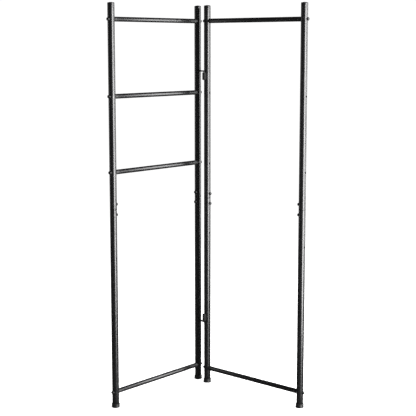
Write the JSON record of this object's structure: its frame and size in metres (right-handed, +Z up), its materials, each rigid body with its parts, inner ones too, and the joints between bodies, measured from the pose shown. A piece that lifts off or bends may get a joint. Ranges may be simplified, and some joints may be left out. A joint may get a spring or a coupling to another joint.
{
  "type": "folding floor screen frame",
  "caption": "Freestanding folding frame of black round tube: hinged panels of posts and cross rungs, standing in a V on round foot caps.",
  "frame": {"origin": "on the floor under the axis of panel A's inner post", "axes": "+Z up; panel A runs along -X from its inner post; panel B runs along -Y; the V opens towards -X -Y"},
  "size_m": [0.5436, 0.606, 1.62],
  "materials": {
    "black_powder_coat": "black semi-gloss powder coat on steel tube",
    "black_fastener": "black satin coated steel bolts, screws, pins and nuts",
    "black_plastic": "black moulded plastic with a fine matt grain",
    "foot_rubber": "black soft plastic foot cap",
    "plain_steel": "zinc plated steel, hidden inside the tubes"
  },
  "bodies": {
    "panel_a": {"a_outer_lower_tube": "black_powder_coat", "a_outer_upper_tube": "black_powder_coat", "a_outer_splice": "plain_steel", "a_outer_splice_screws": "black_fastener", "a_outer_top_plug": "black_plastic", "a_outer_foot": "foot_rubber", "a_outer_rung_bolts": "black_fastener", "a_outer_saddle_washers": "black_plastic", "a_inner_lower_tube": "black_powder_coat", "a_inner_upper_tube": "black_powder_coat", "a_inner_splice": "plain_steel", "a_inner_splice_screws": "black_fastener", "a_inner_top_plug": "black_plastic", "a_inner_foot": "foot_rubber", "a_inner_rung_bolts": "black_fastener", "a_inner_saddle_washers": "black_plastic", "a_bottom_rung": "black_powder_coat", "a_bottom_rung_plugs": "black_plastic", "a_third_rung": "black_powder_coat", "a_third_rung_plugs": "black_plastic", "a_second_rung": "black_powder_coat", "a_second_rung_plugs": "black_plastic", "a_top_rung": "black_powder_coat", "a_top_rung_plugs": "black_plastic", "a_inserts": "plain_steel", "a_splice_nuts": "plain_steel", "hinge_upper_pin": "black_fastener", "hinge_lower_pin": "black_fastener", "hinge_lock_nuts": "black_fastener", "hinge_cap_nuts": "black_fastener"},
    "panel_b": {"b_outer_lower_tube": "black_powder_coat", "b_outer_upper_tube": "black_powder_coat", "b_outer_splice": "plain_steel", "b_outer_splice_screws": "black_fastener", "b_outer_top_plug": "black_plastic", "b_outer_foot": "foot_rubber", "b_outer_rung_bolts": "black_fastener", "b_outer_saddle_washers": "black_plastic", "b_inner_lower_tube": "black_powder_coat", "b_inner_upper_tube": "black_powder_coat", "b_inner_splice": "plain_steel", "b_inner_splice_screws": "black_fastener", "b_inner_top_plug": "black_plastic", "b_inner_foot": "foot_rubber", "b_inner_rung_bolts": "black_fastener", "b_inner_saddle_washers": "black_plastic", "b_bottom_rung": "black_powder_coat", "b_bottom_rung_plugs": "black_plastic", "b_top_rung": "black_powder_coat", "b_top_rung_plugs": "black_plastic", "b_inserts": "plain_steel", "b_splice_nuts": "plain_steel", "hinge_upper_barrel": "black_powder_coat", "hinge_lower_barrel": "black_powder_coat", "hinge_upper_weld": "black_powder_coat", "hinge_lower_weld": "black_powder_coat"}
  },
  "joints": [
    {"name": "fold", "type": "hinge", "parent": "panel_a", "child": "panel_b", "pos_m": [-0.031, -0.0625, 0], "axis": [0, 0, 1], "range_deg": [-96, 4]}
  ]
}
